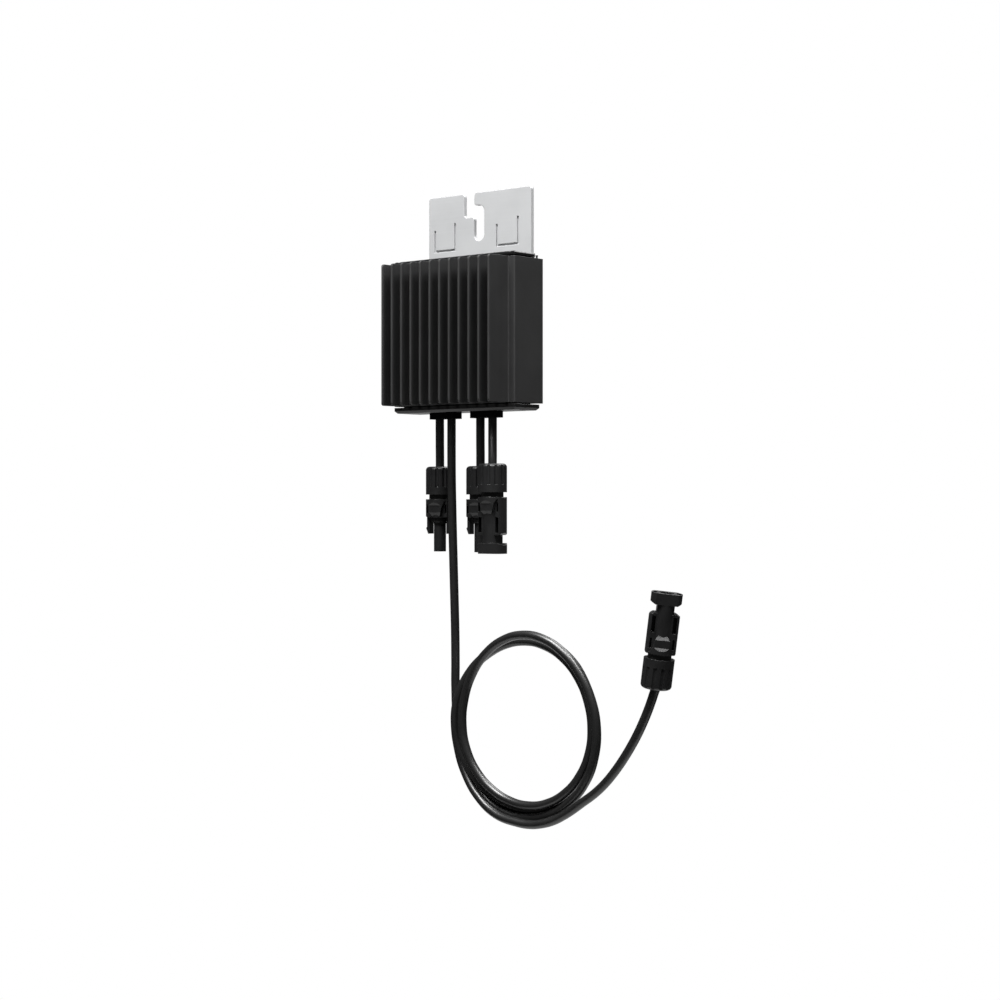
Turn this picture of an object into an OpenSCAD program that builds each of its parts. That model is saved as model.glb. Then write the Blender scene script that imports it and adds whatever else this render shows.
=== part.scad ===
// Power optimizer: a finned aluminium extrusion closed by two gasketed covers,
// hung by a slotted steel bracket, with two rubber grommets and four leads.
// Millimetres, +Z up, fins toward -Y. The origin is the centre of the round
// lower end of the hanging slot, on the bracket's back face.

/* [Housing] */
// Width of the extrusion across its side walls
housing_w = 129; // [120:1:150]
// Length of the extrusion, cut flush at both ends
housing_h = 113.5; // [100:0.5:140]
// Depth of the closed box behind the fins
box_d = 31.5; // [29:0.5:40]
// Thickness of the side walls, which also take the cover screws
side_wall = 10; // [9:0.5:12]
// Thickness of the front wall that carries the fins
front_wall = 4; // [3.5:0.5:6]
// Thickness of the rear wall behind the bracket
rear_wall = 4; // [3.5:0.5:6]
// Thickness of the rear flanges on both sides of the bracket
flange_t = 3; // [2:0.5:4]
// Radius of the extrusion's front vertical edges
edge_round = 1; // [0.5:0.1:1.5]

/* [Fins] */
// Number of fins
fin_count = 12; // [6:1:12]
// Distance between fin centres
fin_pitch = 10.3; // [8:0.1:10.6]
// Fin height from the front wall
fin_d = 22.5; // [12:0.5:30]
// Fin thickness at the rounded tip
fin_tip = 2.2; // [1.6:0.1:2.8]
// Fin thickness at the root
fin_root = 3; // [2.8:0.1:4]
// Radius of the fins' upper and lower front corners
fin_corner = 3; // [1:0.5:6]
// Radius of the fillets at the fins' roots
fin_fillet = 1; // [0.5:0.1:1.5]

/* [Covers] */
// Thickness of the top cover
top_cover_t = 2.8; // [2:0.1:5]
// Thickness of the thin rear lip of the top cover
lip_t = 0.9; // [0.6:0.1:1.5]
// Thickness of the bottom cover
bottom_cover_t = 4.6; // [4:0.1:7]
// Bevel round the lower edge of the bottom cover
bottom_bevel = 2.2; // [1:0.1:3]
// Edge break on the top cover
top_bevel = 1; // [0.3:0.1:1.2]
// Plan radius of the covers' corners
cover_corner = 1.2; // [0.6:0.1:2]
// Plan radius of the top cover's raised rear corners
hump_corner = 3; // [1:0.5:4]
// Squeezed thickness of the cover gaskets
gasket_t = 1; // [0.6:0.1:2]
// Width of the gasket's rim
gasket_rim = 2; // [1.5:0.1:2.6]
// Distance that the gasket lies outside the cavity's edge
gasket_lap = 1.4; // [1:0.1:2]
// Distance from the covers' rear edge to the bracket
cover_gap = 1; // [0.5:0.1:2]
// Depth of the top cover's thin rear lip
lip_d = 4; // [2:0.5:6]
// Distance from the housing's sides to that lip
lip_inset = 5.5; // [4:0.5:7]

/* [Bracket] */
// Width of the bracket plate
bracket_w = 109.6; // [100:0.2:114]
// Thickness of the bracket plate
bracket_t = 3; // [2:0.1:4]
// Height of the bracket above the centre of its slot end
bracket_rise = 33.4; // [32:0.2:45]
// Distance from the centre of the slot end down to the housing
bracket_drop = 24.8; // [22:0.2:40]
// Length of the bracket that lies on the housing
bracket_lap = 62; // [40:1:90]
// Width of the hanging slot
slot_w = 11; // [9:0.2:12]
// Height of the slot's upper round end above its lower one
slot_run = 17.8; // [14:0.2:18]
// Sideways step from the slot to its open mouth
mouth_step = 10.6; // [9.6:0.2:12]
// Height of the mouth's shoulder above the slot end centre
shoulder_z = 14; // [9:0.5:14]
// Radius of the slot's outer corners and of the plate's corners
slot_round = 2.4; // [1:0.1:2.8]
// Width of the coined locking tongues
tongue_w = 22; // [16:0.5:24]
// Width of the coined groove round each tongue
groove_w = 1.6; // [1:0.1:2.5]
// Depth of that groove
groove_depth = 1; // [0.4:0.1:1.4]

/* [Grommets] */
// Width of a grommet's head
grommet_w = 30; // [26:0.5:34]
// Depth of a grommet's head
grommet_d = 10.5; // [9.5:0.5:14]
// Height of the head below the bottom cover
grommet_h = 5; // [3:0.5:10]
// Corner radius of the head
grommet_r = 4; // [2:0.5:4.5]
// Distance from the housing's centre to a grommet
grommet_x = 21.9; // [20:0.1:26]
// Groove depth that the bottom cover's edge sits in
grommet_groove = 1; // [0.5:0.1:1]

/* [Leads] */
// Outside diameter of the leads
lead_d = 6.9; // [5:0.1:7]
// Distance between the two leads of one grommet
lead_gap = 12.8; // [11:0.1:14]

/* [Connectors] */
// Diameter of the cap nuts
nut_d = 22.8; // [20:0.2:23]
// Length of the cap nuts
nut_l = 22.6; // [18:0.2:28]
// Grip flutes round a cap nut
nut_flutes = 12; // [8:1:16]
// Length of the nut's plain collar
nut_collar = 6; // [3:0.5:8]
// Length of the neck between nut and body
neck_l = 3.8; // [2:0.1:6]
// Diameter of the couplers' central barrel
barrel_d = 16.2; // [15.6:0.1:17]
// Depth of the couplers' side wings, front to back
wing_d = 12.8; // [11:0.2:14]
// Length of the grip with its finger pads
grip_l = 14.6; // [13.8:0.1:18]
// Length of a socket coupler from neck to mouth
shell_l = 44.5; // [42:0.5:52]
// Length of the ring round the mouth
ring_l = 8.3; // [6:0.1:9]
// Length of the latch notch behind the ring
notch_l = 6.3; // [5:0.1:7]
// Length of the plug's latch fingers
finger_l = 13.3; // [12:0.1:14]
// Thickness of the plug's latch fingers
finger_t = 2.4; // [1.8:0.1:2.6]
// Length of the plug's probe
probe_l = 27.6; // [24:0.2:32]
// Diameter of the plug's probe
probe_d = 9.8; // [9:0.1:10]

/* [Electronics] */
// Thickness of the circuit board
board_t = 1.6; // [1:0.1:2.4]
// Distance from the circuit board's ends to the ends of the extrusion
board_end = 4.8; // [3:0.1:8]
// Outside diameter of the power inductor
inductor_d = 30; // [20:1:36]
// Height of the power inductor
inductor_h = 13; // [8:0.5:15]
// Diameter of the filter capacitors
capacitor_d = 10; // [6:0.5:10]
// Length of the filter capacitors
capacitor_h = 14; // [8:0.5:15]
// Width of a power transistor
transistor_w = 9; // [6:0.5:9.5]
// Height of a power transistor
transistor_h = 15; // [10:0.5:18]
// Height of the terminal block
terminal_h = 11; // [8:0.5:14]

/* [Hidden] */
$fn = 48;
// General running clearance between fitted pieces
fit = 0.2;
over = 1;

// Levels along Y and Z
box_back = -bracket_t;
box_front = box_back - box_d;
fin_front = box_front - fin_d;
house_top = -bracket_drop;
house_bottom = house_top - housing_h;
half_w = housing_w / 2;
cavity_w = housing_w - 2 * side_wall;
cavity_front = box_front + front_wall;
cavity_back = box_back - rear_wall;
cover_front = box_front - 0.2;
cover_back = box_back - cover_gap;
cover_d = cover_back - cover_front;
top_seat = house_top + gasket_t;
bottom_seat = house_bottom - gasket_t;
bottom_face = bottom_seat - bottom_cover_t;
grommet_face = bottom_face - grommet_h;

// Screws
screw_d = 2.9;
head_d = 5.2;
head_h = 1.6;
screw_x = half_w - side_wall / 2 - fit;
hump_back = cover_back - lip_d;
top_screw_y = [cover_front + 3.4, hump_back - 3.2];
csk_d = 8;
csk_shank = 4;
bracket_screw_edge = 12;
bracket_screw_x = bracket_w / 2 - bracket_screw_edge;
bracket_screw_z = [house_top - bracket_screw_edge, house_top - bracket_lap + bracket_screw_edge];

// The leads leave the middle of the cavity
lead_y = (cavity_front + cavity_back) / 2 - 0.25;
lead_x = [for (side = [-1, 1]) for (pair = [-1, 1]) side * grommet_x + pair * lead_gap / 2];

// Connector levels along a connector's own axis, from its lead entry
entry_l = 9.3;
body_z = nut_l + neck_l;
grip_z = body_z + grip_l;
probe_z = grip_z + probe_l;
mouth_z = body_z + shell_l;
ring_z = mouth_z - ring_l;
wing_z = ring_z - notch_l;
body_r = nut_d / 2;
shank_r = barrel_d / 2 - 0.1;
neck_r = max(body_r - 2.7, shank_r + 0.5);
pad_drop = 1.9;
pad_r = body_r - pad_drop;
finger_in = barrel_d / 2 - 0.5;
finger_out = finger_in + finger_t;
finger_w = 7.2;
socket_r = probe_d / 2 + 0.25;
sleeve_r = 2.5;
pin_r = 1.5;

// Where the hanging connectors sit, and how far each is turned
plug_top = -187;
socket_top = -185.3;
short_out_at = [-31.6, -15.2, plug_top];
in_left_at = [10.9, -13.7, plug_top];
in_right_at = [32.9, -24.3, socket_top];
plug_turn = 15;
socket_turn = 10;
// The long lead's connector points up, leaning to +X, pads toward +X -Y
long_out_at = [200.3, -34.8, -351.6];
long_out_lean = 8.5;
long_out_turn = 41;

// Routes of the leads, from the grommet's face into the cap nut
short_out_route = [
    [lead_x[0], lead_y, grommet_face], [-28.3, -19, -154], [-28.8, -18.4, -162], [-29.8, -17.3, -170],
    [-30.9, -16, -178], short_out_at,
    short_out_at - [0, 0, entry_l]];
in_left_route = [
    [lead_x[2], lead_y, grommet_face], [15.5, -19, -154], [14.8, -18.2, -162], [13.4, -16.6, -170],
    [11.9, -14.8, -178], in_left_at,
    in_left_at - [0, 0, entry_l]];
in_right_route = [
    [lead_x[3], lead_y, grommet_face], [28.3, -19, -154], [29, -19.8, -161.5], [30.4, -21.4, -169],
    [31.9, -23.1, -177], in_right_at,
    in_right_at - [0, 0, entry_l]];
long_out_drop = [
    [lead_x[1], lead_y, grommet_face], [-15.5, -19, -160], [-15.5, -19, -180], [-15.3, -19, -200],
    [-14.8, -19, -220], [-14.2, -19, -240], [-13.5, -19, -260], [-12.8, -19, -280],
    [-12.1, -19, -300], [-11.5, -19, -320], [-11.2, -19, -333], [-11.2, -19, -345]];
long_out_tail = [
    [132.4, -34.8, -441], [139.5, -34.8, -436.4], [146.5, -34.8, -431.2], [153.2, -34.8, -425.4],
    [159.7, -34.8, -418.8], [165.8, -34.8, -411.8], [171.9, -34.8, -404], [178, -34.8, -395.4],
    [183.6, -34.8, -386.6], [188.7, -34.8, -377.5], [193.1, -34.8, -368.7], [196.4, -34.8, -361.2],
    [198.8, -34.8, -355.2], long_out_at,
    long_out_at + entry_l * [sin(long_out_lean), 0, cos(long_out_lean)]];
// The long lead's coil, three and a quarter turns in a loose round hank
coil_at = [67.5, -28, -390];
coil_r = 69;
coil_band = 18;
coil_width = 25.3;
// Bend of the lead where it runs into the coil and comes out of it
coil_bend = 90;
way_in = 28;
way_out = 38;

// Common shapes

// Extrudes an outline drawn in X and Z along Y, from y0 to y1
module along_y(y0, y1) {
    translate([0, y1, 0])
        rotate([90, 0, 0])
            linear_extrude(y1 - y0)
                children();
}

// Extrudes an outline drawn in Y and Z along X, centred
module along_x(width) {
    rotate([90, 0, 90])
        linear_extrude(width, center = true)
            children();
}

module rounded_plan(w, d, r) {
    union() {
        square([w - 2 * r, d], center = true);
        square([w, d - 2 * r], center = true);
        for (x = [-1, 1], y = [-1, 1])
            translate([x * (w / 2 - r), y * (d / 2 - r)])
                circle(r);
    }
}

// Plan outline as wide as the housing, with its own corner radius front and rear
module housing_outline(front, back, front_r, rear_r) {
    d = back - front;
    intersection() {
        translate([0, back])
            rounded_plan(housing_w, 2 * d, front_r);
        translate([0, front])
            rounded_plan(housing_w, 2 * d, rear_r);
    }
}

// Waste at a square corner that is to be rounded, with the plate toward +X +Y
module corner_waste(r) {
    difference() {
        translate([-over, -over])
            square(r + over);
        translate([r, r])
            circle(r);
    }
}

// Lead sweep: rings of points across the route, joined by quads
sides = 10;
function unit(v) = v / norm(v);
function heading(route, i) =
    i == 0 ? unit(route[1] - route[0]) :
    i == len(route) - 1 ? unit(route[i] - route[i - 1]) :
    unit(unit(route[i + 1] - route[i]) + unit(route[i] - route[i - 1]));
function across(t) = unit(cross([0, 1, 0], t));
function ring_at(route, i, r) =
    let (t = heading(route, i), a = across(t), b = cross(t, a))
    [for (k = [0 : sides - 1])
        route[i] + r * (cos(360 * k / sides) * a + sin(360 * k / sides) * b)];

module swept_lead(route) {
    last = len(route) - 1;
    points = [for (i = [0 : last]) each ring_at(route, i, lead_d / 2)];
    skin = [for (i = [0 : last - 1]) for (k = [0 : sides - 1])
        let (n = (k + 1) % sides)
        [i * sides + k, i * sides + n, (i + 1) * sides + n, (i + 1) * sides + k]];
    caps = [[for (k = [sides - 1 : -1 : 0]) k],
        [for (k = [0 : sides - 1]) last * sides + k]];
    polyhedron(points, concat(skin, caps));
}

// Housing

module fin_plan() {
    root = box_front - fin_fillet;
    foot = fin_root / 2 + fin_fillet;
    polygon([[-fin_root / 2, box_front + over], [-fin_root / 2, root],
        [-fin_tip / 2, fin_front + fin_tip / 2], [fin_tip / 2, fin_front + fin_tip / 2],
        [fin_root / 2, root], [fin_root / 2, box_front + over]]);
    translate([0, fin_front + fin_tip / 2])
        circle(d = fin_tip);
    difference() {
        translate([-foot, root])
            square([2 * foot, fin_fillet + over]);
        for (x = [-foot, foot])
            translate([x, root])
                circle(fin_fillet);
    }
}

function fin_x(i) = (i - (fin_count - 1) / 2) * fin_pitch;

// Side view that rounds the fins' front corners
module fin_side() {
    y0 = fin_front - over + fin_corner;
    z0 = house_bottom;
    translate([y0, z0])
        square([box_front + over - y0, housing_h]);
    translate([fin_front - over, z0 + fin_corner])
        square([fin_corner + over, housing_h - 2 * fin_corner]);
    for (z = [z0 + fin_corner, z0 + housing_h - fin_corner])
        translate([fin_front + fin_corner, z])
            circle(fin_corner);
}

module box_plan() {
    difference() {
        housing_outline(box_front, box_back, edge_round, edge_round / 2);
        translate([-cavity_w / 2, cavity_front])
            square([cavity_w, cavity_back - cavity_front]);
        // Card guides for the circuit board
        translate([-board_w / 2, board_y - board_t / 2 - fit])
            square([board_w, board_t + 2 * fit]);
    }
    for (x = [-half_w, half_w - flange_t])
        translate([x, box_back - over])
            square([flange_t, bracket_t + over - 0.4]);
}

module heatsink_housing() {
    color("#1c1c1d")
    difference() {
        union() {
            translate([0, 0, house_bottom])
                linear_extrude(housing_h)
                    box_plan();
            intersection() {
                translate([0, 0, house_bottom])
                    linear_extrude(housing_h)
                        for (i = [0 : fin_count - 1])
                            translate([fin_x(i), 0])
                                fin_plan();
                along_x(housing_w)
                    fin_side();
            }
        }
        for (x = [-1, 1]) {
            for (y = top_screw_y)
                translate([x * screw_x, y, house_top - screw_reach])
                    cylinder(d = screw_d, h = screw_reach + over);
            translate([x * screw_x, lead_y, house_bottom - over])
                cylinder(d = screw_d, h = screw_reach + over);
        }
        for (x = [-1, 1], z = bracket_screw_z)
            translate([x * bracket_screw_x, box_back + over, z])
                rotate([90, 0, 0])
                    cylinder(d = csk_shank, h = over + rear_wall - 0.5);
        translate([pin_x, pin_y, house_top - pin_reach])
            cylinder(d = pin_d, h = pin_reach + over);
    }
}
screw_reach = 10;

// Earthing pin pressed into the rear corner of the extrusion's top
module earth_pin() {
    color("#3a3a3c")
        translate([pin_x, pin_y, house_top - pin_reach]) {
            cylinder(d = pin_d, h = pin_reach + pin_rise);
            translate([0, 0, pin_reach + pin_rise])
                cylinder(d = pin_d + 0.5, h = 0.7);
        }
}
pin_x = half_w - 2.4;
pin_y = box_back - 2;
pin_d = 1.6;
pin_rise = 1.9;
pin_reach = 6;

// Covers

module cover_gasket(z) {
    w = cavity_w + 2 * gasket_lap;
    y0 = cavity_front - gasket_lap;
    y1 = cavity_back + gasket_lap;
    color("#0b0b0b")
        translate([0, 0, z])
            linear_extrude(gasket_t)
                difference() {
                    translate([-w / 2, y0])
                        square([w, y1 - y0]);
                    translate([-w / 2 + gasket_rim, y0 + gasket_rim])
                        square([w - 2 * gasket_rim, y1 - y0 - 2 * gasket_rim]);
                }
}

module top_gasket() {
    cover_gasket(house_top);
}

module bottom_gasket() {
    cover_gasket(bottom_seat);
}

// Seam notch in the middle of each cover's sides
module side_seams(z, h) {
    for (x = [-1, 1])
        translate([x * half_w, seam_y, z + h / 2])
            cube([seam_depth * 2, seam_w, h + 2 * over], center = true);
}
seam_y = lead_y - 2;
seam_w = 0.8;
seam_depth = 0.5;

module top_cover() {
    color("#1a1a1b")
    difference() {
        union() {
            translate([-half_w + lip_inset, hump_back - over, top_seat])
                cube([housing_w - 2 * lip_inset, lip_d + over, lip_t]);
            intersection() {
                translate([0, 0, top_seat])
                    linear_extrude(top_cover_t)
                        housing_outline(cover_front, hump_back, cover_corner, hump_corner);
                along_y(cover_front - over, hump_back + over)
                    polygon([[-half_w, top_seat - over], [half_w, top_seat - over],
                        [half_w, top_seat + top_cover_t - top_bevel],
                        [half_w - top_bevel, top_seat + top_cover_t],
                        [-half_w + top_bevel, top_seat + top_cover_t],
                        [-half_w, top_seat + top_cover_t - top_bevel]]);
                along_x(housing_w + 2 * over)
                    polygon([[cover_front, top_seat - over], [hump_back, top_seat - over],
                        [hump_back, top_seat + top_cover_t - top_bevel],
                        [hump_back - top_bevel, top_seat + top_cover_t],
                        [cover_front + top_bevel, top_seat + top_cover_t],
                        [cover_front, top_seat + top_cover_t - top_bevel]]);
            }
        }
        side_seams(top_seat, top_cover_t);
        // Counterbored screw holes in the corners
        for (x = [-1, 1], y = top_screw_y)
            translate([x * screw_x, y, top_seat]) {
                translate([0, 0, -over])
                    cylinder(d = screw_d + fit, h = top_cover_t + 2 * over);
                translate([0, 0, lip_t])
                    cylinder(d = head_d + 2 * fit, h = top_cover_t + over);
            }
    }
}

module bottom_cover() {
    low = bottom_face;
    shoulder = bottom_face + bottom_bevel;
    color("#1a1a1b")
    difference() {
        intersection() {
            translate([0, 0, low])
                linear_extrude(bottom_cover_t)
                    housing_outline(cover_front, cover_back, cover_corner, cover_corner);
            along_y(cover_front - over, cover_back + over)
                polygon([[-half_w, bottom_seat + over], [-half_w, shoulder],
                    [-half_w + bottom_bevel, low], [half_w - bottom_bevel, low],
                    [half_w, shoulder], [half_w, bottom_seat + over]]);
            along_x(housing_w + 2 * over)
                polygon([[cover_front, bottom_seat + over], [cover_front, shoulder],
                    [cover_front + bottom_bevel, low], [cover_back - bottom_bevel, low],
                    [cover_back, shoulder], [cover_back, bottom_seat + over]]);
        }
        side_seams(low, bottom_cover_t);
        for (x = [-1, 1]) {
            translate([x * grommet_x, lead_y, low - over])
                linear_extrude(bottom_cover_t + 2 * over)
                    grommet_plan(grommet_groove - fit / 2);
            translate([x * screw_x, lead_y, low - over])
                cylinder(d = screw_d + fit, h = bottom_cover_t + 2 * over);
            translate([x * screw_x, lead_y, low - over])
                cylinder(d = head_d + 2 * fit, h = head_h + 0.6 + over);
        }
    }
}

// Pan head screw that points down, with its head seated at z = 0
module pan_screw(length) {
    translate([0, 0, -length])
        cylinder(d = screw_d, h = length);
    intersection() {
        cylinder(d = head_d, h = head_h);
        translate([0, 0, head_h - head_d * 0.8])
            sphere(d = head_d * 1.6);
    }
}

module top_cover_screws() {
    color("#6d6e70")
        for (x = [-1, 1], y = top_screw_y)
            translate([x * screw_x, y, top_seat + lip_t])
                pan_screw(lip_t + gasket_t + screw_reach - 1);
}

module bottom_cover_screws() {
    head_z = bottom_face + head_h + 0.6;
    color("#6d6e70")
        for (x = [-1, 1])
            translate([x * screw_x, lead_y, head_z])
                rotate([180, 0, 0])
                    pan_screw(bottom_seat - head_z + gasket_t + screw_reach - 1);
}

// Bracket

module bracket_outline() {
    bottom = house_top - bracket_lap;
    left = -mouth_step - slot_w / 2;
    right = -mouth_step + slot_w / 2;
    difference() {
        translate([0, (bracket_rise + bottom) / 2])
            rounded_plan(bracket_w, bracket_rise - bottom, slot_round);
        hanging_slot();
        // Rounded corners of the mouth, of the hook's tip and of the shoulder
        translate([left, bracket_rise])
            rotate(180)
                corner_waste(slot_round);
        translate([right, bracket_rise])
            rotate(-90)
                corner_waste(slot_round);
        translate([right, slot_run + slot_w / 2])
            corner_waste(slot_round);
        translate([-slot_w / 2, shoulder_z])
            rotate(180)
                corner_waste(slot_round);
    }
}

// The slot hooks over a stud: in at the mouth, across and down to the round end
module hanging_slot() {
    r = slot_w / 2;
    for (z = [0, slot_run])
        translate([0, z])
            circle(r);
    translate([-r, 0])
        square([slot_w, slot_run]);
    translate([-mouth_step, shoulder_z])
        square([mouth_step, slot_run + r - shoulder_z]);
    translate([-mouth_step - r, shoulder_z + mouth_corner])
        square([slot_w, bracket_rise - shoulder_z]);
    translate([-mouth_step - r + mouth_corner, shoulder_z + mouth_corner])
        circle(mouth_corner);
    translate([-mouth_step - r + mouth_corner, shoulder_z])
        square([r, mouth_corner + over]);
}
mouth_corner = 2.5;

// Coined groove round three sides of a tongue, one leg longer than the other
module tongue_groove() {
    w = tongue_w / 2;
    g = groove_w;
    translate([-w - g / 2, 0])
        square([g, short_leg]);
    translate([w - g / 2, 0])
        square([g, long_leg]);
    translate([-w - g / 2, -g / 2])
        square([tongue_w + g, g]);
}
short_leg = 17;
long_leg = 21.6;
tongue_z = -10.8;
tongue_x = [-37.2, 29.8];

module mounting_bracket() {
    color("#b9babc")
    difference() {
        along_y(-bracket_t, 0)
            bracket_outline();
        for (x = tongue_x)
            translate([x, 0, tongue_z])
                along_y(-bracket_t - over, -bracket_t + groove_depth)
                    tongue_groove();
        for (x = [-1, 1], z = bracket_screw_z)
            translate([x * bracket_screw_x, 0, z])
                rotate([90, 0, 0]) {
                    translate([0, 0, -over])
                        cylinder(d = csk_shank + fit, h = bracket_t + 2 * over);
                    cylinder(d1 = csk_d + fit, d2 = csk_shank + fit, h = csk_h);
                }
    }
}
csk_h = 2;

module bracket_screws() {
    color("#8d8e91")
        for (x = [-1, 1], z = bracket_screw_z)
            translate([x * bracket_screw_x, 0, z])
                rotate([90, 0, 0])
                    difference() {
                        union() {
                            translate([0, 0, 0.1])
                                cylinder(d1 = csk_d, d2 = csk_shank, h = csk_h);
                            translate([0, 0, 0.1])
                                cylinder(d = csk_shank, h = bracket_t + rear_wall - 1);
                        }
                        // Hexagon socket
                        cylinder(d = csk_shank * 0.7, h = csk_h * 0.75, $fn = 6);
                    }
}

// Grommets

module grommet_plan(inset) {
    rounded_plan(grommet_w - 2 * inset, grommet_d - 2 * inset, grommet_r - inset);
}

// A rubber grommet, grooved round the bottom cover's edge
module grommet(side) {
    color("#0d0d0d")
    translate([side * grommet_x, lead_y, 0])
        difference() {
            union() {
                translate([0, 0, grommet_face])
                    linear_extrude(grommet_h)
                        grommet_plan(0);
                translate([0, 0, bottom_face])
                    linear_extrude(bottom_cover_t)
                        grommet_plan(grommet_groove);
                translate([0, 0, bottom_seat])
                    linear_extrude(2)
                        grommet_plan(0);
            }
            for (x = [-1, 1])
                translate([x * lead_gap / 2, 0, grommet_face - over])
                    cylinder(d = lead_d + 0.1, h = grommet_h + bottom_cover_t + 2 + 2 * over);
        }
}

module left_grommet() {
    grommet(-1);
}

module right_grommet() {
    grommet(1);
}

// Electronics

board_w = cavity_w + 2;
board_h = housing_h - 2 * board_end;
board_y = cavity_back - 3;
board_front = board_y - board_t / 2;
board_z = house_bottom + board_end;
terminal_rise = 8;
terminal_z = house_bottom + terminal_rise;
// The terminal block stands evenly about the leads
terminal_d = 2 * (board_front - lead_y) - 2;
pad_t = 0.6;
pad_edge = 2;
// Rows of four parts on the right half of the board
row_count = 4;
row_x = 8;
row_pitch = (cavity_w / 2 - row_x - pad_edge) / row_count;
transistor_z = house_top - housing_h * 0.55;
capacitor_z = house_top - housing_h * 0.18;
inductor_z = house_top - housing_h * 0.3;

module circuit_board() {
    color("#1f5a3a")
        translate([-board_w / 2 + fit, board_front, board_z])
            cube([board_w - 2 * fit, board_t, board_h]);
}

module power_inductor() {
    color("#3b3f42")
        translate([-cavity_w / 5, board_front, inductor_z])
            rotate([90, 0, 0])
                difference() {
                    cylinder(d = inductor_d, h = inductor_h);
                    translate([0, 0, 1])
                        cylinder(d = inductor_d * 0.42, h = inductor_h);
                }
}

module filter_capacitors() {
    color("#28292c")
        for (i = [0 : row_count - 1])
            translate([row_x + transistor_w / 2 + i * row_pitch, board_front, capacitor_z])
                rotate([90, 0, 0])
                    cylinder(d = capacitor_d, h = capacitor_h);
}

module power_transistors() {
    color("#202224")
        for (i = [0 : row_count - 1])
            translate([row_x + i * row_pitch, cavity_front + pad_t, transistor_z])
                cube([transistor_w, board_front - cavity_front - pad_t, transistor_h]);
}

module thermal_pad() {
    row_w = (row_count - 1) * row_pitch + transistor_w;
    color("#8fa0a8")
        translate([row_x - pad_edge, cavity_front, transistor_z - pad_edge])
            cube([row_w + 2 * pad_edge, pad_t, transistor_h + 2 * pad_edge]);
}

module lead_terminals() {
    color("#2c2d30")
        translate([-grommet_x - lead_gap, board_front - terminal_d, terminal_z])
            cube([2 * (grommet_x + lead_gap), terminal_d, terminal_h]);
}

// The leads' ends inside the grommets, up to the terminals
module lead_cores() {
    color("#101010")
        for (x = lead_x)
            translate([x, lead_y, grommet_face])
                cylinder(d = lead_d, h = terminal_z - grommet_face);
}

// Leads

module short_output_lead() {
    color("#111112") swept_lead(short_out_route);
}

module left_input_lead() {
    color("#111112") swept_lead(in_left_route);
}

module right_input_lead() {
    color("#111112") swept_lead(in_right_route);
}

module long_output_drop() {
    color("#111112") swept_lead(long_out_drop);
}

module long_output_tail() {
    color("#111112") swept_lead(long_out_tail);
}

// A bend of the lead about a centre in the coil's plane, between two angles
module lead_bend(centre, from, sweep) {
    translate(centre)
        rotate([90, 0, 0])
            rotate([0, 0, from])
                rotate_extrude(angle = sweep)
                    translate([coil_bend, 0])
                        circle(d = lead_d);
}

// Outer shape of the coil, with the bends where the lead runs in and comes out
module long_output_coil() {
    drop_end = long_out_drop[len(long_out_drop) - 1];
    tail_start = long_out_tail[0];
    tail_way = unit(long_out_tail[1] - tail_start);
    climb = atan2(tail_way[2], tail_way[0]);
    color("#111112") {
        translate(coil_at)
            rotate([90, 0, 0])
                rotate_extrude($fn = 96)
                    translate([coil_r, 0])
                        rounded_plan(coil_band, coil_width, lead_d / 2);
        lead_bend(drop_end + [coil_bend, 0, 0], 180, way_in);
        lead_bend(tail_start + coil_bend * [-sin(climb), 0, cos(climb)], climb - 90 - way_out, way_out);
    }
}

// Connectors, drawn along +Z from the lead entry at z = 0, pads toward -Y

// Places a connector that hangs straight down
module hanging(at, turn) {
    translate(at)
        rotate([0, 0, turn])
            mirror([0, 0, 1])
                children();
}

// Places the long lead's connector, which points up and leans
module upright() {
    translate(long_out_at)
        rotate([0, long_out_lean, 0])
            rotate([0, 0, long_out_turn])
                children();
}

module cap_nut() {
    round_r = 3;
    flute_r = 1.7;
    color("#161617")
    difference() {
        rotate_extrude()
            difference() {
                union() {
                    translate([0, round_r])
                        square([body_r, nut_l - round_r]);
                    square([body_r - round_r, round_r + over]);
                    translate([body_r - round_r, round_r])
                        circle(round_r);
                }
                translate([-over - body_r, -over])
                    square([over + body_r, nut_l + 2 * over]);
                translate([-over, -over])
                    square([over + lead_d / 2 + fit, nut_l + 2 * over]);
                translate([-over, entry_l - fit])
                    square([over + shank_r + fit, nut_l]);
            }
        for (i = [0 : nut_flutes - 1])
            rotate([0, 0, 360 * (i + 0.5) / nut_flutes])
                translate([body_r + flute_r * 0.45, 0, -over])
                    cylinder(r = flute_r, h = nut_l - nut_collar + over, $fn = 24);
    }
}

// Shank that screws into the cap nut, with the neck that the nut stops against
module coupler_shank() {
    translate([0, 0, entry_l])
        cylinder(r = shank_r, h = body_z - entry_l + over);
    translate([0, 0, nut_l])
        cylinder(r = neck_r, h = neck_l + over);
}

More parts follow.
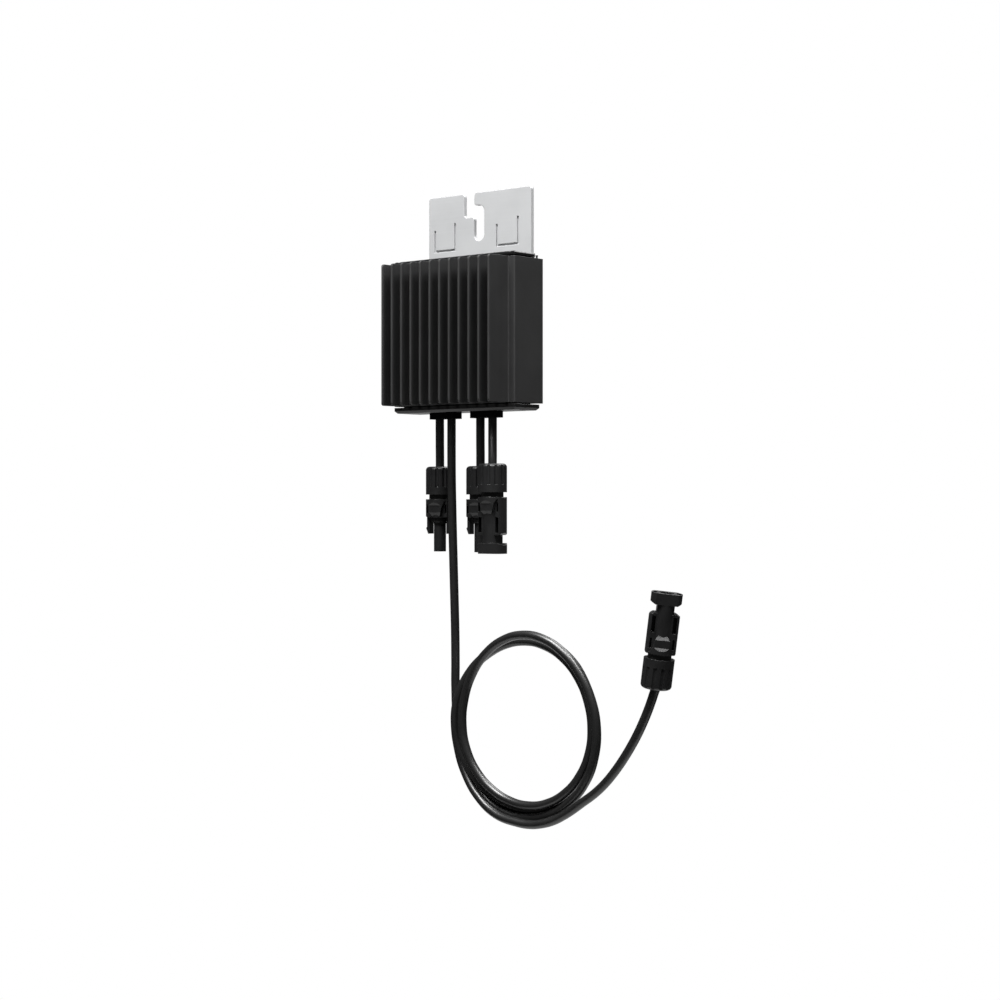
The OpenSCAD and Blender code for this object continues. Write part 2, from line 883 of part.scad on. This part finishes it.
// Grip: side wings as far as wing_end, and a stepped finger pad front and back
module coupler_grip(wing_end) {
    pad_steps = [[0, body_z], [body_r, body_z], [body_r, body_z + 2],
        [pad_r, body_z + pad_flat], [pad_r, body_z + pad_fall],
        [pad_r - pad_drop, body_z + pad_end], [0, body_z + pad_end]];
    pad_width = [[9, 0], [6.4, pad_flat], [5.3, pad_fall], [3.4, pad_end]];
    pad_outline = concat([for (p = pad_width) [p[0], body_z + p[1]]],
        [for (i = [len(pad_width) - 1 : -1 : 0]) [-pad_width[i][0], body_z + pad_width[i][1]]]);
    rise = wing_end - 1.7;
    // Wings, sloped at their ends
    intersection() {
        translate([0, 0, body_z])
            cylinder(r = body_r, h = wing_end - body_z);
        along_y(-wing_d / 2, wing_d / 2)
            polygon([[-body_r + 0.8, body_z], [body_r - 0.8, body_z], [body_r, body_z + 0.8],
                [body_r, rise], [barrel_d / 2, wing_end], [-barrel_d / 2, wing_end],
                [-body_r, rise], [-body_r, body_z + 0.8]]);
    }
    translate([0, 0, body_z])
        cylinder(r = body_r - 0.4, h = 1.6);
    for (turn = [0, 180])
        rotate([0, 0, turn])
            intersection() {
                translate([0, 0, body_z])
                    cylinder(r = body_r - 0.4, h = grip_l);
                mirror([0, 1, 0])
                    along_x(3 * body_r)
                        polygon(pad_steps);
                along_y(-3 * body_r, 0)
                    polygon(pad_outline);
            }
}

// Levels along a pad: where it flattens, where it falls away and where it ends
pad_flat = 5;
pad_fall = 10.6;
pad_end = 13.6;

// Narrow blind pockets beside the pads
module pad_pockets() {
    for (x = [-1, 1], y = [-1, 1])
        translate([x * pocket_x, y * (pocket_floor + wing_d), body_z + (pad_flat + pad_fall) / 2])
            cube([pocket_w, 2 * wing_d, pocket_h], center = true);
}
pocket_floor = 2.5;
pocket_x = 8.3;
pocket_w = 1.5;
pocket_h = 7.4;

module socket_coupler() {
    color("#161617")
    difference() {
        union() {
            coupler_shank();
            coupler_grip(wing_z);
            translate([0, 0, body_z])
                cylinder(d = barrel_d, h = shell_l);
            mouth_ring();
        }
        pad_pockets();
        // Long deep pockets between the barrel and the wings, with a thin web at mid depth
        for (x = [-1, 1], y = [-1, 1])
            translate([x * (slot_wall + slot_gap / 2), y * (web_t / 2 + wing_d), (grip_z + wing_z - 0.8) / 2])
                cube([slot_gap, 2 * wing_d, wing_z - grip_z - 3.2], center = true);
        // Latch notch behind the mouth ring, cut into the barrel's sides
        for (x = [-1, 1])
            translate([x * (slot_wall + body_r), 0, (wing_z + ring_z) / 2])
                cube([2 * body_r, wing_d, notch_l], center = true);
        // Bore for the plug's probe, and channels for its latch fingers
        translate([0, 0, mouth_z - probe_l - 0.3])
            cylinder(r = socket_r, h = probe_l + over);
        for (x = [-1, 1])
            translate([x * (finger_in + finger_out) / 2, 0, (wing_z + mouth_z + over) / 2])
                cube([finger_t + 2 * fit, finger_w + 2 * fit, mouth_z + over - wing_z], center = true);
    }
}
slot_wall = socket_r + 1.2;
slot_gap = 2.8;
web_t = 1;

// Oval ring round the mouth, sloped at its back
module mouth_ring() {
    r = body_r + 0.1;
    intersection() {
        translate([0, 0, ring_z - over])
            cylinder(r = r, h = ring_l + over);
        along_y(-barrel_d / 2, barrel_d / 2)
            polygon([[-barrel_d / 2, ring_z], [barrel_d / 2, ring_z], [r, ring_z + 1.6],
                [r, mouth_z], [-r, mouth_z], [-r, ring_z + 1.6]]);
    }
}

module plug_coupler() {
    barb = 0.8;
    root_l = 3;
    color("#161617")
    difference() {
        union() {
            coupler_shank();
            coupler_grip(grip_z);
            translate([0, 0, body_z])
                cylinder(d = barrel_d, h = grip_l);
            translate([0, 0, grip_z - over])
                cylinder(d = probe_d, h = probe_l + over);
            translate([0, 0, grip_z - over])
                cylinder(d = probe_d + 2.4, h = root_l + over);
            for (turn = [0, 180])
                rotate([0, 0, turn])
                    along_y(-finger_w / 2, finger_w / 2)
                        polygon([[finger_in, grip_z - over], [finger_out, grip_z - over],
                            [finger_out, grip_z + ring_l - 0.7],
                            [finger_out + barb, grip_z + ring_l + 0.4],
                            [finger_out - 1, grip_z + finger_l],
                            [finger_in, grip_z + finger_l]]);
        }
        pad_pockets();
        translate([0, 0, probe_z - sleeve_l - sleeve_inset])
            cylinder(r = sleeve_r, h = sleeve_l + sleeve_inset + over);
    }
}
sleeve_l = 18;
sleeve_inset = 2;

module probe_seal() {
    seal_r = 0.9;
    color("#0c0c0c")
        translate([0, 0, grip_z + 3 + seal_r + 0.1])
            rotate_extrude()
                translate([probe_d / 2 + seal_r, 0])
                    circle(seal_r);
}

module contact_sleeve() {
    color("#c9a24b")
        translate([0, 0, probe_z - sleeve_l - sleeve_inset])
            difference() {
                cylinder(r = sleeve_r, h = sleeve_l);
                translate([0, 0, 2])
                    cylinder(r = pin_r + 0.1, h = sleeve_l);
            }
}

module contact_pin() {
    foot = mouth_z - probe_l - 0.3;
    pin_l = 16;
    color("#c9a24b")
        translate([0, 0, foot]) {
            cylinder(r = pin_r, h = pin_l);
            translate([0, 0, pin_l])
                cylinder(r1 = pin_r, r2 = pin_r * 0.5, h = 1.5);
        }
}

module short_output_nut() {
    hanging(short_out_at, plug_turn) cap_nut();
}

module short_output_plug() {
    hanging(short_out_at, plug_turn) plug_coupler();
}

module short_output_seal() {
    hanging(short_out_at, plug_turn) probe_seal();
}

module short_output_sleeve() {
    hanging(short_out_at, plug_turn) contact_sleeve();
}

module left_input_nut() {
    hanging(in_left_at, plug_turn) cap_nut();
}

module left_input_plug() {
    hanging(in_left_at, plug_turn) plug_coupler();
}

module left_input_seal() {
    hanging(in_left_at, plug_turn) probe_seal();
}

module left_input_sleeve() {
    hanging(in_left_at, plug_turn) contact_sleeve();
}

module right_input_nut() {
    hanging(in_right_at, socket_turn) cap_nut();
}

module right_input_socket() {
    hanging(in_right_at, socket_turn) socket_coupler();
}

module right_input_pin() {
    hanging(in_right_at, socket_turn) contact_pin();
}

module long_output_nut() {
    upright() cap_nut();
}

module long_output_socket() {
    upright() socket_coupler();
}

module long_output_pin() {
    upright() contact_pin();
}

heatsink_housing();
top_cover();
bottom_cover();
top_gasket();
bottom_gasket();
top_cover_screws();
bottom_cover_screws();
mounting_bracket();
bracket_screws();
earth_pin();
left_grommet();
right_grommet();
circuit_board();
power_inductor();
filter_capacitors();
power_transistors();
thermal_pad();
lead_terminals();
lead_cores();
short_output_lead();
long_output_drop();
long_output_coil();
long_output_tail();
left_input_lead();
right_input_lead();
short_output_nut();
long_output_nut();
left_input_nut();
right_input_nut();
short_output_plug();
long_output_socket();
left_input_plug();
right_input_socket();
short_output_seal();
left_input_seal();
short_output_sleeve();
long_output_pin();
left_input_sleeve();
right_input_pin();
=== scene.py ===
import bpy
import bmesh
import math
from mathutils import Matrix, Vector


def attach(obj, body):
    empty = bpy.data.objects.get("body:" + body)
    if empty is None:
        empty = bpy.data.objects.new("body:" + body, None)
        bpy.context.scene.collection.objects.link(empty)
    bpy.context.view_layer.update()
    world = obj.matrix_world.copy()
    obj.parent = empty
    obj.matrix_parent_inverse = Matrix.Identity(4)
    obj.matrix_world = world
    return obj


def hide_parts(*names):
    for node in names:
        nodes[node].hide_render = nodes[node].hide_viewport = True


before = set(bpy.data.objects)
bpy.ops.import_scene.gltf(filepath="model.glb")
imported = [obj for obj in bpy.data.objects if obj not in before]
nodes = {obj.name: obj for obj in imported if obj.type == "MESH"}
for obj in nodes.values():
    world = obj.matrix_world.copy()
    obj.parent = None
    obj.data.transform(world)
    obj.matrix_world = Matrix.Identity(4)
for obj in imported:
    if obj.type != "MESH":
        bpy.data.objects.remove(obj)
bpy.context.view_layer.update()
scene = bpy.context.scene
mm = 0.001
print("frame loaded:", len(nodes), "nodes")


# camera at the photo's view, level, turned about the vertical
cameraSet = {"place": (1.1121, -1.2568, -0.2140), "turn": 41.0, "lens": 75.0, "sensor": 36.0,
             "near": 0.05, "far": 30.0}

camData = bpy.data.cameras.new("photoCamera")
camData.lens = cameraSet["lens"]
camData.sensor_width = cameraSet["sensor"]
camData.clip_start = cameraSet["near"]
camData.clip_end = cameraSet["far"]
camera = bpy.data.objects.new("photoCamera", camData)
camera.location = cameraSet["place"]
camera.rotation_euler = (math.radians(90), 0, math.radians(cameraSet["turn"]))
scene.collection.objects.link(camera)
scene.camera = camera
scene.view_settings.view_transform = "Standard"
print("camera set")


# shader helpers

def newSocket(group, name, way, kind, value=None):
    made = group.interface.new_socket(name=name, in_out=way, socket_type=kind)
    if value is not None:
        made.default_value = value


def addNode(tree, kind, **settings):
    made = tree.nodes.new(kind)
    for key, value in settings.items():
        setattr(made, key, value)
    return made


# fine moulded or anodised grain: a roughness mask and a bump height
grainSet = {"size": 0.0004, "sizeDetail": 3.0, "patch": 0.02, "patchDetail": 4.0, "fineShare": 0.35}


def makeFineGrain():
    g = bpy.data.node_groups.new("fineGrain", "ShaderNodeTree")
    newSocket(g, "Size", "INPUT", "NodeSocketFloat", grainSet["size"])
    newSocket(g, "Patch", "INPUT", "NodeSocketFloat", grainSet["patch"])
    newSocket(g, "Mask", "OUTPUT", "NodeSocketFloat")
    newSocket(g, "Height", "OUTPUT", "NodeSocketFloat")
    gin = addNode(g, "NodeGroupInput")
    gout = addNode(g, "NodeGroupOutput")
    coord = addNode(g, "ShaderNodeTexCoord")
    fine = addNode(g, "ShaderNodeTexNoise")
    broad = addNode(g, "ShaderNodeTexNoise")
    for noise, width, detail in ((fine, "Size", "sizeDetail"), (broad, "Patch", "patchDetail")):
        noise.inputs["Detail"].default_value = grainSet[detail]
        perWidth = addNode(g, "ShaderNodeMath", operation="DIVIDE")
        perWidth.inputs[0].default_value = 1.0
        g.links.new(gin.outputs[width], perWidth.inputs[1])
        g.links.new(coord.outputs["Object"], noise.inputs["Vector"])
        g.links.new(perWidth.outputs[0], noise.inputs["Scale"])
    blend = addNode(g, "ShaderNodeMath", operation="MULTIPLY_ADD")
    blend.inputs[1].default_value = grainSet["fineShare"]
    g.links.new(fine.outputs[0], blend.inputs[0])
    g.links.new(broad.outputs[0], blend.inputs[2])
    g.links.new(blend.outputs[0], gout.inputs["Mask"])
    g.links.new(fine.outputs[0], gout.inputs["Height"])
    return g


# lines left by drawing or rolling, stretched along one direction of the piece
lineSet = {"detail": 5.0, "roughness": 0.6}


def makeDrawLines():
    g = bpy.data.node_groups.new("drawLines", "ShaderNodeTree")
    newSocket(g, "Stretch", "INPUT", "NodeSocketVector", (1.0, 1.0, 1.0))
    newSocket(g, "Mask", "OUTPUT", "NodeSocketFloat")
    gin = addNode(g, "NodeGroupInput")
    gout = addNode(g, "NodeGroupOutput")
    coord = addNode(g, "ShaderNodeTexCoord")
    scale = addNode(g, "ShaderNodeVectorMath", operation="MULTIPLY")
    lines = addNode(g, "ShaderNodeTexNoise")
    lines.inputs["Scale"].default_value = 1.0
    lines.inputs["Detail"].default_value = lineSet["detail"]
    lines.inputs["Roughness"].default_value = lineSet["roughness"]
    g.links.new(coord.outputs["Object"], scale.inputs[0])
    g.links.new(gin.outputs["Stretch"], scale.inputs[1])
    g.links.new(scale.outputs[0], lines.inputs["Vector"])
    g.links.new(lines.outputs[0], gout.inputs["Mask"])
    return g


fineGrain = makeFineGrain()
drawLines = makeDrawLines()

# most of a noise's values lie in this span
noiseSpan = (0.3, 0.7)


def rangeOf(tree, source, low, high, span=noiseSpan):
    r = addNode(tree, "ShaderNodeMapRange")
    r.inputs["From Min"].default_value = span[0]
    r.inputs["From Max"].default_value = span[1]
    r.inputs["To Min"].default_value = low
    r.inputs["To Max"].default_value = high
    tree.links.new(source, r.inputs["Value"])
    return r.outputs[0]


def shadeOf(tree, source, dark, light):
    ramp = addNode(tree, "ShaderNodeValToRGB")
    ramp.color_ramp.elements[0].position = noiseSpan[0]
    ramp.color_ramp.elements[0].color = (*dark, 1.0)
    ramp.color_ramp.elements[1].position = noiseSpan[1]
    ramp.color_ramp.elements[1].color = (*light, 1.0)
    tree.links.new(source, ramp.inputs["Fac"])
    return ramp.outputs["Color"]


# one finish: grain in colour, roughness and bump, edges softened by a small round
plainLook = {"metallic": 0.0, "specular": 0.5, "round": 0.0003, "bump": 0.1, "depth": 0.0001}
roundSamples = 6


def makeFinish(name, ownLook):
    look = {**plainLook, **ownLook}
    mat = bpy.data.materials.new(name)
    mat.use_nodes = True
    t = mat.node_tree
    shader = t.nodes["Principled BSDF"]
    shader.inputs["Metallic"].default_value = look["metallic"]
    shader.inputs["Specular IOR Level"].default_value = look["specular"]
    grain = addNode(t, "ShaderNodeGroup", node_tree=fineGrain)
    grain.inputs["Size"].default_value = look["grain"]
    grain.inputs["Patch"].default_value = look["patch"]
    mask = grain.outputs["Mask"]
    if "lines" in look:
        drawn = addNode(t, "ShaderNodeGroup", node_tree=drawLines)
        drawn.inputs["Stretch"].default_value = look["lines"]
        both = addNode(t, "ShaderNodeMath", operation="MULTIPLY_ADD")
        both.inputs[1].default_value = look["lineShare"]
        toned = addNode(t, "ShaderNodeMath", operation="MULTIPLY")
        toned.inputs[1].default_value = 1.0 - look["lineShare"]
        t.links.new(mask, toned.inputs[0])
        t.links.new(drawn.outputs["Mask"], both.inputs[0])
        t.links.new(toned.outputs[0], both.inputs[2])
        mask = both.outputs[0]
    t.links.new(shadeOf(t, mask, look["dark"], look["light"]), shader.inputs["Base Color"])
    t.links.new(rangeOf(t, mask, *look["rough"]), shader.inputs["Roughness"])
    edge = addNode(t, "ShaderNodeBevel", samples=roundSamples)
    edge.inputs["Radius"].default_value = look["round"]
    bump = addNode(t, "ShaderNodeBump")
    bump.inputs["Strength"].default_value = look["bump"]
    bump.inputs["Distance"].default_value = look["depth"]
    t.links.new(grain.outputs["Height"], bump.inputs["Height"])
    t.links.new(edge.outputs["Normal"], bump.inputs["Normal"])
    t.links.new(bump.outputs["Normal"], shader.inputs["Normal"])
    return mat


def dress(mat, *names):
    for name in names:
        o = nodes[name]
        o.data.materials.clear()
        o.data.materials.append(mat)


# finishes
anodised = makeFinish("blackAnodised", {
    "dark": (0.017, 0.017, 0.0173), "light": (0.024, 0.024, 0.0243), "rough": (0.46, 0.56),
    "specular": 0.6, "grain": 0.00025, "patch": 0.03, "lines": (900, 900, 6), "lineShare": 0.5,
    "round": 0.0006, "bump": 0.05, "depth": 0.00006})
coverBlack = makeFinish("coverBlack", {
    "dark": (0.006, 0.006, 0.006), "light": (0.009, 0.009, 0.009), "rough": (0.25, 0.33),
    "specular": 0.33, "grain": 0.0004, "patch": 0.02, "round": 0.0011, "bump": 0.04})
sealBlack = makeFinish("sealRubber", {
    "dark": (0.004, 0.004, 0.004), "light": (0.007, 0.007, 0.007), "rough": (0.5, 0.68),
    "specular": 0.1, "grain": 0.0005, "patch": 0.012, "round": 0.0008, "bump": 0.15})
connectorBlack = makeFinish("connectorBlack", {
    "dark": (0.008, 0.008, 0.0082), "light": (0.012, 0.012, 0.0123), "rough": (0.32, 0.40),
    "specular": 0.6, "grain": 0.0003, "patch": 0.01, "round": 0.00025, "bump": 0.02})
jacketBlack = makeFinish("leadJacket", {
    "dark": (0.009, 0.009, 0.009), "light": (0.013, 0.013, 0.013), "rough": (0.31, 0.36),
    "specular": 0.8, "grain": 0.0015, "patch": 0.02, "round": 0.0, "bump": 0.005,
    "depth": 0.00003})
bracketZinc = makeFinish("bracketZinc", {
    "dark": (0.435, 0.44, 0.445), "light": (0.495, 0.50, 0.505), "rough": (0.58, 0.66),
    "metallic": 0.15, "grain": 0.0003, "patch": 0.03, "lines": (8, 900, 900), "lineShare": 0.3,
    "round": 0.0008, "bump": 0.05, "depth": 0.00005})
screwSteel = makeFinish("screwSteel", {
    "dark": (0.30, 0.30, 0.31), "light": (0.48, 0.48, 0.49), "rough": (0.25, 0.42),
    "metallic": 1.0, "grain": 0.0002, "patch": 0.004, "round": 0.0002})
screwBlack = makeFinish("screwBlack", {
    "dark": (0.012, 0.012, 0.012), "light": (0.022, 0.022, 0.022), "rough": (0.34, 0.46),
    "metallic": 0.3, "grain": 0.0002, "patch": 0.004, "round": 0.0002})
pinDark = makeFinish("pinDark", {
    "dark": (0.03, 0.03, 0.03), "light": (0.06, 0.06, 0.06), "rough": (0.3, 0.42),
    "metallic": 0.6, "grain": 0.0002, "patch": 0.004, "round": 0.0002})
boardGreen = makeFinish("boardGreen", {
    "dark": (0.02, 0.10, 0.05), "light": (0.035, 0.16, 0.08), "rough": (0.3, 0.45),
    "grain": 0.0005, "patch": 0.02})
partBlack = makeFinish("partBlack", {
    "dark": (0.012, 0.012, 0.013), "light": (0.025, 0.025, 0.027), "rough": (0.4, 0.55),
    "grain": 0.0004, "patch": 0.01})
padGrey = makeFinish("padGrey", {
    "dark": (0.25, 0.29, 0.31), "light": (0.34, 0.38, 0.40), "rough": (0.6, 0.75),
    "grain": 0.0006, "patch": 0.01})
contactMetal = makeFinish("contactMetal", {
    "dark": (0.55, 0.50, 0.42), "light": (0.70, 0.66, 0.58), "rough": (0.18, 0.3),
    "metallic": 1.0, "grain": 0.0002, "patch": 0.004, "round": 0.0002})

dress(anodised, "heatsink_housing")
dress(coverBlack, "top_cover", "bottom_cover")
dress(sealBlack, "top_gasket", "bottom_gasket", "left_grommet", "right_grommet",
      "short_output_seal", "left_input_seal")
dress(screwSteel, "bracket_screws")
dress(screwBlack, "top_cover_screws", "bottom_cover_screws")
dress(pinDark, "earth_pin")
dress(bracketZinc, "mounting_bracket")
dress(boardGreen, "circuit_board")
dress(partBlack, "power_inductor", "filter_capacitors", "power_transistors", "lead_terminals")
dress(padGrey, "thermal_pad")
dress(jacketBlack, "lead_cores")
dress(connectorBlack, "short_output_nut", "long_output_nut", "left_input_nut", "right_input_nut",
      "short_output_plug", "long_output_socket", "left_input_plug", "right_input_socket")
dress(contactMetal, "short_output_sleeve", "long_output_pin", "left_input_sleeve",
      "right_input_pin")
print("finishes on")


# leads: one smooth curve each, in mm, on the route of the solids
leadSet = {"diameter": 6.9, "sides": 6, "steps": 6}


def makeLead(name, points):
    curve = bpy.data.curves.new(name, "CURVE")
    curve.dimensions = "3D"
    curve.bevel_depth = leadSet["diameter"] / 2 * mm
    curve.bevel_resolution = leadSet["sides"]
    curve.resolution_u = leadSet["steps"]
    curve.use_fill_caps = True
    line = curve.splines.new("BEZIER")
    line.bezier_points.add(len(points) - 1)
    for spot, place in zip(line.bezier_points, points):
        spot.co = Vector(place) * mm
        spot.handle_left_type = "AUTO"
        spot.handle_right_type = "AUTO"
    o = bpy.data.objects.new(name, curve)
    scene.collection.objects.link(o)
    curve.materials.append(jacketBlack)
    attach(o, "root")
    return o


shortOutput = makeLead("shortOutputLead", [
    (-28.3, -19, -148.9), (-28.3, -19, -154), (-28.8, -18.4, -162), (-29.8, -17.3, -170),
    (-30.9, -16, -178), (-31.6, -15.2, -187), (-31.6, -15.2, -196.3)])
leftInput = makeLead("leftInputLead", [
    (15.5, -19, -148.9), (15.5, -19, -154), (14.8, -18.2, -162), (13.4, -16.6, -170),
    (11.9, -14.8, -178), (10.9, -13.7, -187), (10.9, -13.7, -196.3)])
rightInput = makeLead("rightInputLead", [
    (28.3, -19, -148.9), (28.3, -19, -154), (29, -19.8, -161.5), (30.4, -21.4, -169),
    (31.9, -23.1, -177), (32.9, -24.3, -185.3), (32.9, -24.3, -194.6)])

# the long lead: drop, three and a quarter turns in a loose hank, tail up to its connector
# sideReach runs left, right, left by half turns, endReach and endShift low, high, low
# depth runs by quarter turns
coilSet = {
    "centre": (66.0, -388.4), "start": 0.06, "turns": 3.25, "pointsPerTurn": 20,
    "sideReach": (70.4, 77.4, 53.5, 68.9, 64, 65.9, 70.4),
    "endReach": (71.6, 70.8, 61.1, 64.9, 66.1, 65.2, 74.5),
    "endShift": (-0.7, 12.6, 7.8, 3.7, 1.7, 1.4, 1),
    "depth": (-19, -27.9, -32.2, -37.3, -37.2, -31.5, -27.2,
              -25.8, -34.3, -24, -20.8, -16.7, -26.9, -34.5),
}


def eased(values, place):
    i = min(max(int(place), 0), len(values) - 2)
    t = min(max(place - i, 0), 1)
    t = t * t * (3 - 2 * t)
    return values[i] + (values[i + 1] - values[i]) * t


def coilPoint(u):
    wave, rise = math.cos(2 * math.pi * u), math.sin(2 * math.pi * u)
    return (coilSet["centre"][0] - eased(coilSet["sideReach"], 2 * u) * wave
            + eased(coilSet["endShift"], 2 * u - 0.5) * rise * rise,
            eased(coilSet["depth"], 4 * u),
            coilSet["centre"][1] - eased(coilSet["endReach"], 2 * u - 0.5) * rise)


longRoute = [
    (-15.5, -19, -148.9), (-15.5, -19, -160), (-15.5, -19, -180), (-15.3, -19, -200),
    (-14.8, -19, -220), (-14.2, -19, -240), (-13.5, -19, -260), (-12.8, -19, -280),
    (-12.1, -19, -300), (-11.5, -19, -320), (-11.2, -19, -345), (-11.2, -19, -364),
    (-9.2, -19.1, -389)]
coilSpan = coilSet["turns"] - coilSet["start"]
coilSteps = round(coilSpan * coilSet["pointsPerTurn"])
for k in range(coilSteps + 1):
    longRoute.append(coilPoint(coilSet["start"] + coilSpan * k / coilSteps))

# the tail ends straight, along the leaning connector
tailSet = {"foot": (200.3, -34.8, -351.6), "lean": math.radians(8.5), "straight": 9.3}
tailFoot = tailSet["foot"]
longRoute += [
    (79, -34.5, -463.3), (90.4, -34.8, -461.8), (102, -34.8, -458.5), (113.5, -34.8, -453),
    (123, -34.8, -447.3), (132.4, -34.8, -441), (139.5, -34.8, -436.4), (146.5, -34.8, -431.2),
    (153.2, -34.8, -425.4), (159.7, -34.8, -418.8), (165.8, -34.8, -411.8), (171.9, -34.8, -404),
    (178, -34.8, -395.4), (183.6, -34.8, -386.6), (188.7, -34.8, -377.5), (193.1, -34.8, -368.7),
    (196.4, -34.8, -361.2), (198.8, -34.8, -355.2), tailFoot,
    (tailFoot[0] + tailSet["straight"] * math.sin(tailSet["lean"]), tailFoot[1],
     tailFoot[2] + tailSet["straight"] * math.cos(tailSet["lean"]))]
longOutput = makeLead("longOutputLead", longRoute)


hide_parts("short_output_lead")
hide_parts("left_input_lead")
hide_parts("right_input_lead")
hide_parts("long_output_drop", "long_output_coil", "long_output_tail")
print("leads laid:", len(longRoute), "points on the long one")


# floor, world and lamps
stageSet = {"floorZ": -1.40, "floorWide": 2.4, "floorLong": 4.0, "floorBack": 1.2,
            "floorShade": (0.6, 0.6, 0.6, 1.0), "floorRough": 0.9, "fill": 0.05,
            "backdropWay": (-0.656, 0.755, 0.0), "backdropFade": (0.97, 1.0)}
plainWhite = (1.0, 1.0, 1.0, 1.0)


def eitherOf(tree, first, second):
    larger = addNode(tree, "ShaderNodeMath", operation="MAXIMUM")
    tree.links.new(first, larger.inputs[0])
    tree.links.new(second, larger.inputs[1])
    return larger.outputs[0]


# plain white to the camera and in reflections, pale grey to the light
floorMat = bpy.data.materials.new("paleFloor")
floorMat.use_nodes = True
ft = floorMat.node_tree
floorShader = ft.nodes["Principled BSDF"]
floorShader.inputs["Base Color"].default_value = stageSet["floorShade"]
floorShader.inputs["Roughness"].default_value = stageSet["floorRough"]
glow = addNode(ft, "ShaderNodeEmission")
glow.inputs["Strength"].default_value = 1.0
seen = addNode(ft, "ShaderNodeLightPath")
mirrored = eitherOf(ft, seen.outputs["Is Glossy Ray"], seen.outputs["Is Transmission Ray"])
pick = addNode(ft, "ShaderNodeMixShader")
ft.links.new(eitherOf(ft, seen.outputs["Is Camera Ray"], mirrored), pick.inputs[0])
ft.links.new(floorShader.outputs[0], pick.inputs[1])
ft.links.new(glow.outputs[0], pick.inputs[2])
ft.links.new(pick.outputs[0], ft.nodes["Material Output"].inputs["Surface"])

floorMesh = bpy.data.meshes.new("floor")
floorTurn = Matrix.Rotation(math.radians(cameraSet["turn"]), 3, "Z")
floorPlace = Vector(stageSet["backdropWay"]) * stageSet["floorBack"]
floorPlace.z = stageSet["floorZ"]
bm = bmesh.new()
bmesh.ops.create_grid(bm, x_segments=1, y_segments=1, size=0.5)
bmesh.ops.scale(bm, verts=bm.verts, vec=(stageSet["floorWide"], stageSet["floorLong"], 1.0))
bmesh.ops.rotate(bm, verts=bm.verts, matrix=floorTurn)
bmesh.ops.translate(bm, verts=bm.verts, vec=floorPlace)
bm.to_mesh(floorMesh)
bm.free()
floor = bpy.data.objects.new("floor", floorMesh)
floorMesh.materials.append(floorMat)
scene.collection.objects.link(floor)

# world: white to the camera and in reflections of the backdrop, a dim studio elsewhere
world = bpy.data.worlds.new("studio")
scene.world = world
world.use_nodes = True
wt = world.node_tree
wt.nodes.clear()
wout = addNode(wt, "ShaderNodeOutputWorld")
soft = addNode(wt, "ShaderNodeBackground")
soft.inputs["Color"].default_value = plainWhite
soft.inputs["Strength"].default_value = stageSet["fill"]
white = addNode(wt, "ShaderNodeBackground")
white.inputs["Color"].default_value = plainWhite
white.inputs["Strength"].default_value = 1.0
wseen = addNode(wt, "ShaderNodeLightPath")
wcoord = addNode(wt, "ShaderNodeTexCoord")
wfacing = addNode(wt, "ShaderNodeVectorMath", operation="DOT_PRODUCT")
wfacing.inputs[1].default_value = stageSet["backdropWay"]
wbehind = rangeOf(wt, wfacing.outputs["Value"], 0.0, 1.0, stageSet["backdropFade"])
wmirrored = eitherOf(wt, wseen.outputs["Is Glossy Ray"], wseen.outputs["Is Transmission Ray"])
wbackdrop = addNode(wt, "ShaderNodeMath", operation="MULTIPLY")
wpick = addNode(wt, "ShaderNodeMixShader")
wt.links.new(wcoord.outputs["Generated"], wfacing.inputs[0])
wt.links.new(wmirrored, wbackdrop.inputs[0])
wt.links.new(wbehind, wbackdrop.inputs[1])
wt.links.new(eitherOf(wt, wbackdrop.outputs[0], wseen.outputs["Is Camera Ray"]), wpick.inputs[0])
wt.links.new(soft.outputs[0], wpick.inputs[1])
wt.links.new(white.outputs[0], wpick.inputs[2])
wt.links.new(wpick.outputs[0], wout.inputs["Surface"])

lampAim = Vector((0.06, -0.03, -0.2))
lampSet = [
    {"name": "keyBox", "place": (0.93, -0.20, 1.27), "size": 0.6, "power": 29.0},
    {"name": "overheadBox", "place": (0.06, -0.50, 1.35), "size": 0.5, "power": 16.0},
    {"name": "frontSoftbox", "place": (0.06, -1.02, 1.45), "size": 0.9, "power": 54.0},
    {"name": "rearFill", "place": (0.00, 1.05, 1.30), "size": 1.0, "power": 24.0},
]
for lamp in lampSet:
    data = bpy.data.lights.new(lamp["name"], "AREA")
    data.size = lamp["size"]
    data.energy = lamp["power"]
    o = bpy.data.objects.new(lamp["name"], data)
    o.location = lamp["place"]
    way = lampAim - Vector(lamp["place"])
    o.rotation_euler = way.to_track_quat("-Z", "Y").to_euler()
    scene.collection.objects.link(o)
print("stage and lamps set")
